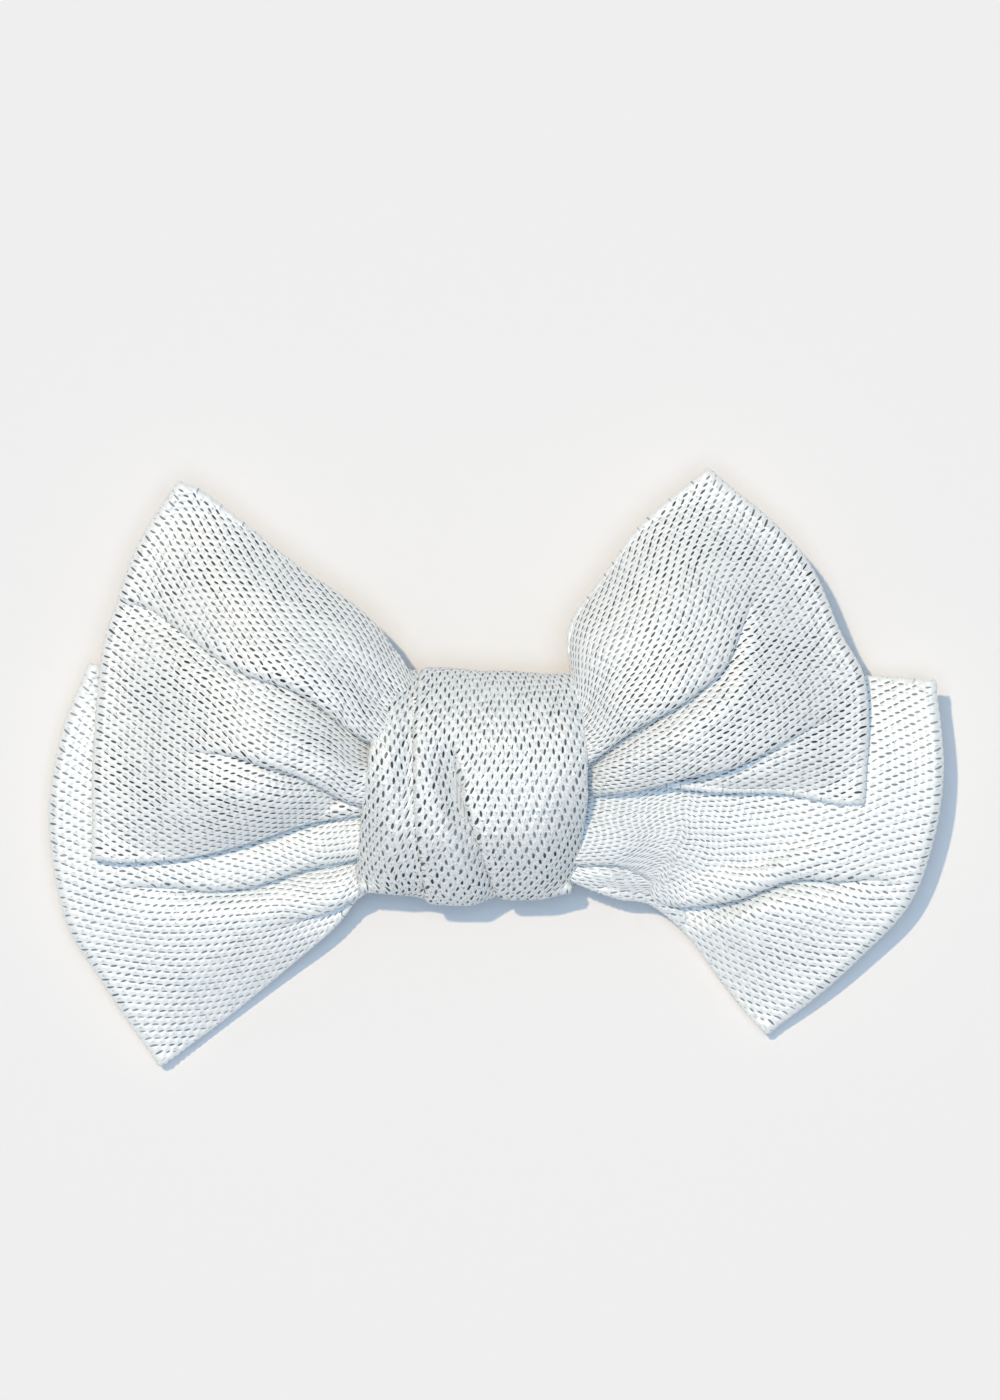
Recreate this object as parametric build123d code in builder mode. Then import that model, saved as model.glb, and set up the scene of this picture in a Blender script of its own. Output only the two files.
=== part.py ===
from build123d import *
from math import cos, radians, sin
import os

# A two-layer fabric bow lying on its back, with a spring clip behind its knot.
# +X runs from wing to wing, +Y towards the raised wings, +Z out of the bow's front.
# The origin is under the middle of the bow, on the surface that it lies on.

os.makedirs("parts", exist_ok=True)

# ---------------------------------------------------------------- driving dimensions, mm

FABRIC = 1.2  # doubled metallic knit
HALF_HEIGHT = 50.5  # from the middle to the highest and lowest corners
FAR = 90.0  # well past the bow, for cutting shapes
PROFILE_MARGIN = 0.4  # the side views run this far past the folds

# levels above the surface
BACK_FOLD_Z = (6.4, 9.4)  # outer folds of the lower bow
BACK_CROWN_Z = 13.2  # highest part of the lower bow's front layer
FRONT_REAR_Z = 14.2  # lowest part of the upper bow's rear layer
FRONT_FOLD_Z = (14.4, 17.2)  # outer folds of the upper bow
FRONT_CROWN_Z = 30.0  # highest part of the upper bow
BACK_WAIST_Z = (11.0, 17.2)
FRONT_WAIST_Z = (17.6, 24.0)
WRAP_Z = (9.6, 25.8)

# side views of the loops: places along the wing, as shares of its reach or from the middle
PROFILE_START = 8.0  # inside the waist
BACK_BELLY_START = 26.5  # the rear layer leaves the waist's level here
BACK_BELLY = (0.60, 0.74)  # it lies on the surface between these shares
BACK_CROWN_AT = 0.50
BACK_SHOULDER_AT = 0.84
BACK_SHOULDER_DROP = 1.2
BACK_WAIST_RISE = 1.6
FRONT_DROP_X = (13.0, 26.0)  # the rear layer comes down onto the lower bow between these
FRONT_RISE_X = 21.0  # the front layer starts to rise here
FRONT_PEAK_AT = 0.58
FRONT_PEAK_RISE = 0.6  # the peak's corner, above its rounded crown
FRONT_SHOULDER_AT = 0.80
FRONT_SHOULDER_Z = 26.6
WAIST_SLOPE = 0.1  # how far each layer slopes inside the wrap
FOLD_RADIUS = 1.2

# the gathered waists, inside the wrap
WAIST_X = (-13.0, 11.0)
BACK_WAIST_Y = (-16.2, 9.0)
FRONT_WAIST_Y = (-11.0, 12.0)
LAYERS_PART = 24.0  # the two layers of a loop part this far from the middle
THREAD = 0.6  # diameter of the gathering thread
THREAD_TURNS = 5
THREAD_CORNER = 2.4
THREAD_PITCH = 0.75
THREAD_SEAT = 0.8  # how far the tight thread pulls the waist in
GATHER_X = -6.0
JOIN_X = 5.0

# the knot
WRAP_LEFT_Y = (-20.9, 17.5)
WRAP_RIGHT_Y = (-22.3, 15.6)
WRAP_CORNER = 4.0
WRAP_ENDS_X = (-24.0, 16.0)  # its two end sections, before its sides are trimmed
WRAP_LEFT_EDGE = [(-16.0, 18.0), (-21.0, -2.0), (-22.6, -23.0)]
WRAP_RIGHT_EDGE = [(11.6, -23.0), (14.9, -5.0), (14.2, 18.0)]
WRAP_LAP_Y = (-7.0, 7.0)
WRAP_LAP = 0.8
STITCH = 0.5  # diameter of the sewing thread's stitches
STITCH_LENGTH = 3.0
LAP_STITCHES = 6
WHIP_STITCHES = 9
WHIP_SPACING = 3.4
WHIP_LEAN = 24  # degrees
BACKING_X = -4.0  # middle of the wrap's back

# the clip, which runs along X
CLIP_LENGTH = 46.0
CLIP_X = -3.0
CLIP_WIDTH = 8.9
TIP_WIDTH = 6.0
ARM_TRIM = 0.02  # the arm's plate is this much narrower than its ears stand
TAPER_BEFORE_PIVOT = 6.0
SHOULDER = (0.6, 1.6)  # the thumb end widens this far behind the ears
ARM_PLATE = 0.8
JAW_PLATE = 0.7
FELT = 0.9
FELT_SIZE = (34.0, 12.4)
FELT_CORNER = 5.0
GLUE = 0.3
GLUE_SIZE = (29.0, 6.6)
PIVOT_FROM_TAIL = 14.0
PIVOT_Z = 4.5
PIN_R = 0.75
PIN_CLEARANCE = 0.05
PIN_HEAD_R = 1.2
PIN_HEAD = 0.4
PIN_HEAD_GAP = 0.05  # between a head and the ear beside it
EAR = 0.7
EAR_R = 2.0
EAR_GAP = 0.15
JAW_FLAT_TOP = 6.0
JAW_LOW_TOP = 2.4
JAW_STEP = (10.0, 3.5)  # the jaw drops from one level to the other before the pivot
JAW_TAIL_START = 3.0  # and falls towards its tail from here behind the pivot
TAIL_TOP = 1.1
THUMB_CORNER = 3.4
TIP_CORNER = 1.6
TOOTH = (1.6, 0.7)  # width at its foot, and height
TOOTH_ANGLE = 60
TOOTH_SINK = 0.1  # each tooth's foot starts this far inside the plate
TOOTH_INSET = 0.6  # from the jaw's sides
TOOTH_COUNT = 4
TOOTH_PITCH = 2.4
TOOTH_START = 6.6
SPRING_WIRE = 0.6
SPRING_R = 1.45
SPRING_TURNS = 3.5
SPRING_PITCH = 0.8
SPRING_LEG = 8.5
UPPER_LEG_SLOPE = 3.0
LOWER_LEG_SLOPE = -4.0

seat_length = THREAD_TURNS * THREAD_PITCH + THREAD
felt_top = WRAP_Z[0] - WRAP_LAP
glue_top = felt_top - FELT
arm_top = glue_top - GLUE
arm_bottom = arm_top - ARM_PLATE
clip_tip_x = CLIP_X - CLIP_LENGTH / 2
clip_tail_x = CLIP_X + CLIP_LENGTH / 2
pivot_x = clip_tail_x - PIVOT_FROM_TAIL

# ------------------------------------------------------------------------ loop outlines
# Each wing seen from the front: its outer fold as an arc from the top corner to the
# bottom corner, its top edge from that corner to the waist, and its bottom edge from the
# waist to the bottom corner.

front_left = dict(
    fold=[(-54.0, 48.1), (-66.6, 15.0), (-68.4, -15.0)],
    top=[(-27.9, 26.6), (-20.4, 20.6), (-18.0, 14.0), (-11.0, 11.5)],
    bottom=[(-11.0, -8.5), (-32.3, -8.9), (-50.7, -14.5)],
)
front_right = dict(
    fold=[(36.4, HALF_HEIGHT), (57.3, 26.0), (62.6, -5.7)],
    top=[(23.4, 37.9), (16.2, 28.6), (15.6, 12.5), (9.5, 11.5)],
    bottom=[(9.5, -6.5), (32.0, -3.2)],
)
back_left = dict(
    fold=[(-69.2, 17.3), (-74.34, -18.4), (-57.4, -HALF_HEIGHT)],
    top=[(-45.0, 14.0), (-11.0, 8.0)],
    bottom=[(-11.0, -15.5), (-22.8, -17.0), (-29.6, -31.0), (-41.4, -42.4)],
)
back_right = dict(
    fold=[(74.7, 14.3), (69.5, -19.9), (46.5, -45.3)],
    top=[(62.3, 15.0), (40.0, 12.5), (9.5, 8.0)],
    bottom=[(9.5, -15.5), (15.0, -17.0), (20.7, -21.7), (30.5, -25.5), (37.4, -34.0)],
)


def outward(fold):
    """The way from the knot to the middle of a wing's fold, square to the fold's chord."""
    chord = Vector(*fold[0]) - Vector(*fold[-1])
    out = chord.cross(Vector(0, 0, 1)).normalized()
    return out if out.dot(Vector(*fold[0])) > 0 else -out


def reach(fold):
    """How far the fold stands from the middle, along outward(fold)."""
    return Vector(*fold[1]).dot(outward(fold)) + PROFILE_MARGIN


def side_plane(fold):
    """A wing's side view: x runs outward, y is up."""
    out = outward(fold)
    return Plane(origin=(0, 0, 0), x_dir=out, z_dir=out.cross(Vector(0, 0, 1)))


def back_profile(tip):
    """Side view of a lower wing, whose rear layer bellies down to a flat resting patch."""
    with BuildSketch(mode=Mode.PRIVATE) as profile:
        with BuildLine():
            FilletPolyline(
                (PROFILE_START, BACK_WAIST_Z[0]),
                (BACK_BELLY_START, BACK_WAIST_Z[0] - WAIST_SLOPE),
                (BACK_BELLY[0] * tip, 0),
                (BACK_BELLY[1] * tip, 0),
                (tip, BACK_FOLD_Z[0]),
                (tip, BACK_FOLD_Z[1]),
                (BACK_SHOULDER_AT * tip, BACK_CROWN_Z - BACK_SHOULDER_DROP),
                (BACK_CROWN_AT * tip, BACK_CROWN_Z),
                (PROFILE_START, BACK_CROWN_Z + BACK_WAIST_RISE),
                radius=[10, 12, 14, FOLD_RADIUS, FOLD_RADIUS, 16, 30],
            )
            Line((PROFILE_START, BACK_CROWN_Z + BACK_WAIST_RISE), (PROFILE_START, BACK_WAIST_Z[0]))
        make_face()
    return profile.sketch


def front_profile(tip):
    """Side view of an upper wing, which lies on the lower one and arches up in front."""
    with BuildSketch(mode=Mode.PRIVATE) as profile:
        with BuildLine():
            FilletPolyline(
                (PROFILE_START, FRONT_WAIST_Z[0]),
                (FRONT_DROP_X[0], FRONT_WAIST_Z[0]),
                (FRONT_DROP_X[1], FRONT_REAR_Z),
                (tip, FRONT_FOLD_Z[0]),
                (tip, FRONT_FOLD_Z[1]),
                (FRONT_SHOULDER_AT * tip, FRONT_SHOULDER_Z),
                (FRONT_PEAK_AT * tip, FRONT_CROWN_Z + FRONT_PEAK_RISE),
                (FRONT_RISE_X, FRONT_WAIST_Z[1] - WAIST_SLOPE),
                (PROFILE_START, FRONT_WAIST_Z[1] - 2 * WAIST_SLOPE),
                radius=[10, 20, FOLD_RADIUS, FOLD_RADIUS, 20, 24, 12],
            )
            Line(
                (PROFILE_START, FRONT_WAIST_Z[1] - 2 * WAIST_SLOPE),
                (PROFILE_START, FRONT_WAIST_Z[0]),
            )
        make_face()
    return profile.sketch


def wing_hollow(wing, profile):
    """The space between a wing's two layers, which runs out at its top and bottom edges."""
    fold = wing["fold"]
    out = outward(fold)
    along = Vector(-out.Y, out.X, 0)
    if along.Y < 0:
        along = -along
    inner = [Vector(*p) - out * FABRIC for p in fold]
    with BuildPart() as hollow:
        with BuildSketch(side_plane(fold)):
            add(profile(reach(fold)))
            offset(amount=-FABRIC, mode=Mode.REPLACE)
            with Locations((LAYERS_PART + FAR / 2, 0)):
                Rectangle(FAR, FAR, mode=Mode.INTERSECT)
        extrude(amount=FAR, both=True)
        with BuildSketch(Plane.XY):
            with BuildLine():
                ThreePointArc(*inner)
                Polyline(
                    inner[-1],
                    inner[-1] - along * FAR,
                    -along * FAR - out,
                    along * FAR - out,
                    inner[0] + along * FAR,
                    inner[0],
                )
            make_face()
        extrude(amount=FAR, mode=Mode.INTERSECT)
    return hollow.part


def wing_loop(wing, profile):
    """One wing: a flattened loop of fabric, closed at the outer fold and at the waist."""
    fold, top, bottom = wing["fold"], wing["top"], wing["bottom"]
    hollow = wing_hollow(wing, profile)
    with BuildPart() as loop:
        with BuildSketch(side_plane(fold)):
            add(profile(reach(fold)))
        extrude(amount=FAR, both=True)
        with BuildSketch(Plane.XY):
            with BuildLine():
                ThreePointArc(*fold)
                Polyline(fold[0], *top, *bottom, fold[-1])
            make_face()
        extrude(amount=FAR, mode=Mode.INTERSECT)
        add(hollow, mode=Mode.SUBTRACT)
    return loop.part


def block(x, y, z, mode=Mode.ADD):
    """A box between two limits along each axis."""
    with Locations(((x[0] + x[1]) / 2, (y[0] + y[1]) / 2, (z[0] + z[1]) / 2)):
        return Box(x[1] - x[0], y[1] - y[0], z[1] - z[0], mode=mode)


def pinched(limits):
    """A waist's limits where a tight thread pulls it in on both sides."""
    return (limits[0] + THREAD_SEAT, limits[1] - THREAD_SEAT)


def seat_core(waist_y, waist_z):
    """The pulled-in middle of a waist, as a bar along X with rounded corners."""
    y, z = pinched(waist_y), pinched(waist_z)
    with BuildPart() as core:
        with BuildSketch(Plane.YZ.offset(GATHER_X - seat_length / 2)):
            with Locations((sum(y) / 2, sum(z) / 2)):
                RectangleRounded(y[1] - y[0], z[1] - z[0], THREAD_CORNER - THREAD / 2)
        extrude(amount=JOIN_X - GATHER_X + seat_length)
    return core.part


def waist(core, waist_y, waist_z):
    """The gathered middle of a bow: its pulled-in core, and full size beside the threads."""
    add(core)
    block((WAIST_X[0], GATHER_X - seat_length / 2), waist_y, waist_z)
    block((GATHER_X + seat_length / 2, JOIN_X - seat_length / 2), waist_y, waist_z)
    block((JOIN_X + seat_length / 2, WAIST_X[1]), waist_y, waist_z)


def thread_turn(y, z):
    """One turn of a thread wound tightly round a waist."""
    r = THREAD / 2
    low, high = (y[0] - r, z[0] - r), (y[1] + r, z[1] + r)
    corners = (low, (high[0], low[1]), high, (low[0], high[1]))
    with BuildPart() as turn:
        with BuildLine(Plane.YZ) as path:
            FilletPolyline(*corners, radius=THREAD_CORNER, close=True)
        with BuildSketch(Plane(origin=path.line @ 0, z_dir=path.line % 0)):
            Circle(r)
        sweep()
    return turn.part


def turns_at(x):
    """Where the middle of each turn of a thread comes, side by side along X."""
    first = x - (THREAD_TURNS - 1) * THREAD_PITCH / 2
    return [(first + n * THREAD_PITCH, 0, 0) for n in range(THREAD_TURNS)]


# --------------------------------------------------------------------------- the fabric

back_loops = [wing_loop(wing, back_profile) for wing in (back_left, back_right)]
back_core = seat_core(BACK_WAIST_Y, BACK_WAIST_Z)
with BuildPart() as back_bow_band:
    waist(back_core, BACK_WAIST_Y, BACK_WAIST_Z)
    add(back_loops)

front_loops = [wing_loop(wing, front_profile) for wing in (front_left, front_right)]
front_core = seat_core(FRONT_WAIST_Y, FRONT_WAIST_Z)
with BuildPart() as front_bow_band:
    waist(front_core, FRONT_WAIST_Y, FRONT_WAIST_Z)
    add(front_loops)


def wrap_section(y, inset):
    """The knot's section across X: a rounded rectangle, at inset inside its outer face."""
    with Locations(((y[0] + y[1]) / 2, (WRAP_Z[0] + WRAP_Z[1]) / 2)):
        RectangleRounded(
            y[1] - y[0] - 2 * inset, WRAP_Z[1] - WRAP_Z[0] - 2 * inset, WRAP_CORNER - inset
        )


with BuildPart() as knot_core:
    with BuildSketch(Plane.YZ.offset(WRAP_ENDS_X[0])):
        wrap_section(WRAP_LEFT_Y, FABRIC)
    with BuildSketch(Plane.YZ.offset(WRAP_ENDS_X[1])):
        wrap_section(WRAP_RIGHT_Y, FABRIC)
    loft()

with BuildPart() as knot_wrap:
    with BuildSketch(Plane.YZ.offset(WRAP_ENDS_X[0])):
        wrap_section(WRAP_LEFT_Y, 0)
    with BuildSketch(Plane.YZ.offset(WRAP_ENDS_X[1])):
        wrap_section(WRAP_RIGHT_Y, 0)
    loft()
    # the strip's closing end laps over its start, behind the bow
    block(WRAP_ENDS_X, WRAP_LAP_Y, (WRAP_Z[0] - WRAP_LAP, WRAP_Z[0] + FABRIC / 2))
    add(knot_core.part, mode=Mode.SUBTRACT)
    with BuildSketch(Plane.XY):
        with BuildLine():
            ThreePointArc(*WRAP_LEFT_EDGE)
            Line(WRAP_LEFT_EDGE[-1], WRAP_RIGHT_EDGE[0])
            ThreePointArc(*WRAP_RIGHT_EDGE)
            Line(WRAP_RIGHT_EDGE[-1], WRAP_LEFT_EDGE[0])
        make_face()
    extrude(amount=FAR, mode=Mode.INTERSECT)

# -------------------------------------------------------------------------- the threads

back_turn = thread_turn(pinched(BACK_WAIST_Y), pinched(BACK_WAIST_Z))
with BuildPart() as back_gather_thread:
    with Locations(*turns_at(GATHER_X)):
        add(back_turn)

front_turn = thread_turn(pinched(FRONT_WAIST_Y), pinched(FRONT_WAIST_Z))
with BuildPart() as front_gather_thread:
    with Locations(*turns_at(GATHER_X)):
        add(front_turn)

# one thread round both waists holds the two bows together
joining_turn = thread_turn(
    (BACK_WAIST_Y[0] + THREAD_SEAT, FRONT_WAIST_Y[1] - THREAD_SEAT),
    (BACK_WAIST_Z[0] + THREAD_SEAT, FRONT_WAIST_Z[1] - THREAD_SEAT),
)
with BuildPart() as joining_thread:
    with Locations(*turns_at(JOIN_X)):
        add(joining_turn)


def lap_stitches(waist_y, waist_z):
    """A row of short stitches, in a line along Y, through a band's two lapped ends."""
    middle = ((WAIST_X[1] + JOIN_X + THREAD_TURNS * THREAD_PITCH / 2) / 2, sum(waist_y) / 2)
    spacing = (waist_y[1] - waist_y[0]) / (LAP_STITCHES + 1)
    with BuildPart() as row:
        with Locations((*middle, waist_z[0] + STITCH / 4)):
            with GridLocations(1, spacing, 1, LAP_STITCHES):
                Cylinder(STITCH / 2, STITCH_LENGTH, rotation=(0, 90, 0))
    return row.part


with BuildPart() as back_lap_stitches:
    add(lap_stitches(BACK_WAIST_Y, BACK_WAIST_Z))

with BuildPart() as front_lap_stitches:
    add(lap_stitches(FRONT_WAIST_Y, FRONT_WAIST_Z))

# whip stitches over the lapped end of the wrap
with BuildPart() as wrap_closing_stitches:
    with Locations((BACKING_X, WRAP_LAP_Y[0], WRAP_Z[0] - WRAP_LAP / 2)):
        with GridLocations(WHIP_SPACING, 1, WHIP_STITCHES, 1):
            Cylinder(STITCH / 2, STITCH_LENGTH, rotation=(90, 0, WHIP_LEAN))

# ------------------------------------------------------------------------- the backing

with BuildPart() as felt_backing_pad:
    with BuildSketch(Plane.XY.offset(glue_top)):
        with Locations((BACKING_X, 0)):
            RectangleRounded(*FELT_SIZE, FELT_CORNER)
    extrude(amount=FELT)

with BuildPart() as glue_bead:
    with BuildSketch(Plane.XY.offset(arm_top)):
        with Locations((BACKING_X, 0)):
            SlotOverall(*GLUE_SIZE)
    extrude(amount=GLUE)

# ---------------------------------------------------------------------------- the clip

ears_end_x = pivot_x + EAR_R
inner_ear_y = CLIP_WIDTH / 2 - EAR - EAR_GAP  # outer face of the jaw's ears


def clip_outline(waist_width):
    """The clip's plan: tapered to the tip, with a round thumb end behind the pivot."""
    with BuildSketch(mode=Mode.PRIVATE) as outline:
        with BuildLine():
            Polyline(
                (clip_tip_x, TIP_WIDTH / 2),
                (pivot_x - TAPER_BEFORE_PIVOT, waist_width / 2),
                (ears_end_x + SHOULDER[0], waist_width / 2),
                (ears_end_x + SHOULDER[1], CLIP_WIDTH / 2),
                (clip_tail_x, CLIP_WIDTH / 2),
                (clip_tail_x, -CLIP_WIDTH / 2),
                (ears_end_x + SHOULDER[1], -CLIP_WIDTH / 2),
                (ears_end_x + SHOULDER[0], -waist_width / 2),
                (pivot_x - TAPER_BEFORE_PIVOT, -waist_width / 2),
                (clip_tip_x, -TIP_WIDTH / 2),
                close=True,
            )
        make_face()
        fillet(outline.vertices().group_by(Axis.X)[-1], THUMB_CORNER)
        fillet(outline.vertices().group_by(Axis.X)[0], TIP_CORNER)
    return outline.sketch


def pivot_ears(outer_y, plate_z):
    """A pair of ears with the pivot's hole, outer faces at outer_y, meeting a plate."""
    with BuildPart() as pair:
        with BuildSketch(Plane.XZ):
            with Locations((pivot_x, PIVOT_Z)):
                Circle(EAR_R)
            with Locations((pivot_x, (PIVOT_Z + plate_z) / 2)):
                Rectangle(2 * EAR_R, abs(plate_z - PIVOT_Z))
            with Locations((pivot_x, PIVOT_Z)):
                Circle(PIN_R + PIN_CLEARANCE, mode=Mode.SUBTRACT)
        extrude(amount=outer_y, both=True)
        block((-FAR, FAR), (EAR - outer_y, outer_y - EAR), (-FAR, FAR), mode=Mode.SUBTRACT)
    return pair.part


upper_ears = pivot_ears(CLIP_WIDTH / 2, arm_bottom + ARM_PLATE / 2)
lower_ears = pivot_ears(inner_ear_y, JAW_LOW_TOP - JAW_PLATE / 2)

with BuildPart() as clip_upper_arm:
    with BuildSketch(Plane.XY.offset(arm_bottom)):
        add(clip_outline(CLIP_WIDTH - ARM_TRIM))
    extrude(amount=ARM_PLATE)
    add(upper_ears)

with BuildPart() as clip_lower_jaw:
    with BuildSketch(Plane.XZ):
        with BuildLine():
            upper = [
                (clip_tip_x - 1, JAW_FLAT_TOP),
                (pivot_x - JAW_STEP[0], JAW_FLAT_TOP),
                (pivot_x - JAW_STEP[1], JAW_LOW_TOP),
                (pivot_x + JAW_TAIL_START, JAW_LOW_TOP),
                (clip_tail_x + 1, TAIL_TOP),
            ]
            lower = [(x, z - JAW_PLATE) for x, z in reversed(upper)]
            Polyline(*upper, *lower, close=True)
        make_face()
    extrude(amount=CLIP_WIDTH, both=True)
    with BuildSketch(Plane.XY):
        add(clip_outline(2 * inner_ear_y))
    extrude(amount=FAR, mode=Mode.INTERSECT)
    add(lower_ears)
    # small pressed teeth across the mouth
    with BuildSketch(Plane.XZ):
        with Locations((clip_tip_x + TOOTH_START, JAW_FLAT_TOP - TOOTH_SINK)):
            with GridLocations(TOOTH_PITCH, 1, TOOTH_COUNT, 1):
                Trapezoid(*TOOTH, TOOTH_ANGLE, align=(Align.CENTER, Align.MIN))
    extrude(amount=TIP_WIDTH / 2 - TOOTH_INSET, both=True)

with BuildPart() as clip_pivot_pin:
    with Locations((pivot_x, 0, PIVOT_Z)):
        Cylinder(PIN_R, CLIP_WIDTH + 2 * PIN_HEAD, rotation=(90, 0, 0))
    for side in (-1, 1):
        with BuildSketch(Plane.XZ.offset(-side * (CLIP_WIDTH / 2 + PIN_HEAD_GAP))):
            with Locations((pivot_x, PIVOT_Z)):
                Circle(PIN_HEAD_R)
        extrude(amount=-side * PIN_HEAD)

# The coil is made along Z, starting on +X. It is then turned so that it starts at its top
# and, half a turn over a whole number, ends at its bottom: both legs run to the tail.
coil_length = SPRING_TURNS * SPRING_PITCH
with BuildPart() as coil_and_legs:
    with BuildLine() as coil:
        Helix(SPRING_PITCH, coil_length, SPRING_R, lefthand=True)
    with BuildSketch(Plane(origin=coil.line @ 0, z_dir=coil.line % 0)):
        Circle(SPRING_WIRE / 2)
    sweep(is_frenet=True)
    for end, slope in ((coil.line @ 0, UPPER_LEG_SLOPE), (coil.line @ 1, LOWER_LEG_SLOPE)):
        with BuildSketch(Plane(origin=end, z_dir=(sin(radians(slope)), cos(radians(slope)), 0))):
            Circle(SPRING_WIRE / 2)
        extrude(amount=SPRING_LEG)

coil_place = Plane(origin=(pivot_x, -coil_length / 2, PIVOT_Z), x_dir=(0, 0, 1), z_dir=(0, 1, 0))
with BuildPart() as clip_torsion_spring:
    with Locations(coil_place):
        add(coil_and_legs.part)

# ----------------------------------------------------------------------------- writing

pieces = {
    "back_bow_band": back_bow_band,
    "front_bow_band": front_bow_band,
    "knot_wrap": knot_wrap,
    "back_gather_thread": back_gather_thread,
    "front_gather_thread": front_gather_thread,
    "joining_thread": joining_thread,
    "back_lap_stitches": back_lap_stitches,
    "front_lap_stitches": front_lap_stitches,
    "wrap_closing_stitches": wrap_closing_stitches,
    "felt_backing_pad": felt_backing_pad,
    "glue_bead": glue_bead,
    "clip_upper_arm": clip_upper_arm,
    "clip_lower_jaw": clip_lower_jaw,
    "clip_pivot_pin": clip_pivot_pin,
    "clip_torsion_spring": clip_torsion_spring,
}
for label, piece in pieces.items():
    piece.part.label = label
    export_step(piece.part, f"parts/{label}.step")
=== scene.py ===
import math

import bpy
import numpy as np
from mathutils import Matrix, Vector, noise


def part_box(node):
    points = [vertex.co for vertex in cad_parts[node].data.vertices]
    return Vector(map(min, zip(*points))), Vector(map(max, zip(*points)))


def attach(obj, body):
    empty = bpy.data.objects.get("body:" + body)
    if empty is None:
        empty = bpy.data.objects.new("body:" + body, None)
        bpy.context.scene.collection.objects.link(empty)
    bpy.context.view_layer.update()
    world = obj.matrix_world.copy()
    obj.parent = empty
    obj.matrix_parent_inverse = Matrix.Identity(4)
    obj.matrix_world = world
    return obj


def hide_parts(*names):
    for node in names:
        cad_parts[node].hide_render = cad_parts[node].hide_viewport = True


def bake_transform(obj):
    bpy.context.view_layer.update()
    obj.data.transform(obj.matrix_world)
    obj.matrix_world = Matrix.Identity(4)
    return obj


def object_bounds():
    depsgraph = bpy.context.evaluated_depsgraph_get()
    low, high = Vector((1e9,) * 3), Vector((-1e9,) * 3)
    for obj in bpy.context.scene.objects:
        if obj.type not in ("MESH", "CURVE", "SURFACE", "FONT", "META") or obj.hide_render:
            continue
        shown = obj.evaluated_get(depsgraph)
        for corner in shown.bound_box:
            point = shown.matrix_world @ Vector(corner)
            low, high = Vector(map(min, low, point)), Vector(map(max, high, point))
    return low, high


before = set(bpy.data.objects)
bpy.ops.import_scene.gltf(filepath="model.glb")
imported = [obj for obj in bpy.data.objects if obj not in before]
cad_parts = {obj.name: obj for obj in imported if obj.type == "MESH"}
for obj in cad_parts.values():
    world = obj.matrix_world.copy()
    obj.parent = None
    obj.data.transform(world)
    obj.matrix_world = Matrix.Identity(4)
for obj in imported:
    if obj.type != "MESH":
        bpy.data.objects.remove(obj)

# A ready-made bow of metallic knit: two layers of wings, their gathered waists, the wrap
# round both, and the threads, felt, glue and clip behind. Lengths are millimetres in the
# CAD frame, unless a name ends in _M, and meshes are written in metres.

CAD_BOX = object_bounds()
MM = 0.001

RIBBON = 68.0  # width of the doubled knit
THICK = 1.1  # thickness of the doubled knit
STITCH_STEP = 1.2  # from one column of stitches to the next, along the ribbon
STITCH_PITCH = 1.46  # from one stitch to the next, across the ribbon
NUB = 0.10  # how far each stitch stands out
FOLD_RADIUS = 0.9  # of a wing's outer fold, to the middle of the cloth

COLUMNS = 170  # mesh columns across a ribbon
ROWS = 150  # mesh rows along each layer of a wing
FOLD_ROWS = 7  # mesh rows round a wing's outer fold
DENSE = 420  # points across a wing while its layers are shaped


def node_box(name):
    """A CAD node's lowest and highest corners, in millimetres."""
    low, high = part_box(name)
    return np.array(low) / MM, np.array(high) / MM


# ----------------------------------------------------------------------------- curves


def smooth_curve(points, count):
    """A smooth curve through the points, as count points evenly spaced along it."""
    p = np.array(points, float)
    p = np.vstack([2 * p[0] - p[1], p, 2 * p[-1] - p[-2]])
    t = np.linspace(0, 1, 24, endpoint=False)[:, None]
    spans = [
        0.5 * (2 * b + (c - a) * t + (2 * a - 5 * b + 4 * c - d) * t**2
               + (3 * b - a - 3 * c + d) * t**3)
        for a, b, c, d in zip(p, p[1:], p[2:], p[3:])
    ]
    line = np.vstack(spans + [p[-2:-1]])
    run = np.r_[0, np.cumsum(np.linalg.norm(np.diff(line, axis=0), axis=1))]
    at = np.linspace(0, run[-1], count)
    return np.stack([np.interp(at, run, line[:, k]) for k in range(p.shape[1])], axis=1)


def ease(x, low, high):
    """0 before low, 1 after high, and smooth between them."""
    t = np.clip((x - low) / (high - low), 0, 1)
    return t * t * (3 - 2 * t)


def average(values, width):
    """A moving average over an odd width, with the end values held."""
    padded = np.pad(values, width // 2, mode="edge")
    return np.convolve(padded, np.ones(width) / width, mode="valid")


def through(x, stops):
    """A smooth value through (place, value) stops, blurred over a fifth of their range."""
    samples, blur = 400, 81
    stops = np.array(stops, float)
    dense = np.linspace(stops[0, 0], stops[-1, 0], samples)
    return np.interp(x, dense, average(np.interp(dense, stops[:, 0], stops[:, 1]), blur))


def squared_circle(angle, power):
    """A circle's two coordinates, made squarer by a power below 1."""
    c, s = np.cos(angle), np.sin(angle)
    return np.sign(c) * np.abs(c) ** power, np.sign(s) * np.abs(s) ** power


def patch(top, bottom, inner, outer):
    """A plan between four edge curves: rows run outward, columns from top to bottom."""
    u = np.linspace(0, 1, len(top))[:, None, None]
    v = np.linspace(0, 1, len(inner))[None, :, None]
    across = (1 - v) * top[:, None] + v * bottom[:, None]
    along = (1 - u) * inner[None] + u * outer[None]
    corners = (
        (1 - u) * ((1 - v) * top[0] + v * bottom[0]) + u * ((1 - v) * top[-1] + v * bottom[-1])
    )
    return across + along - corners


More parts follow.
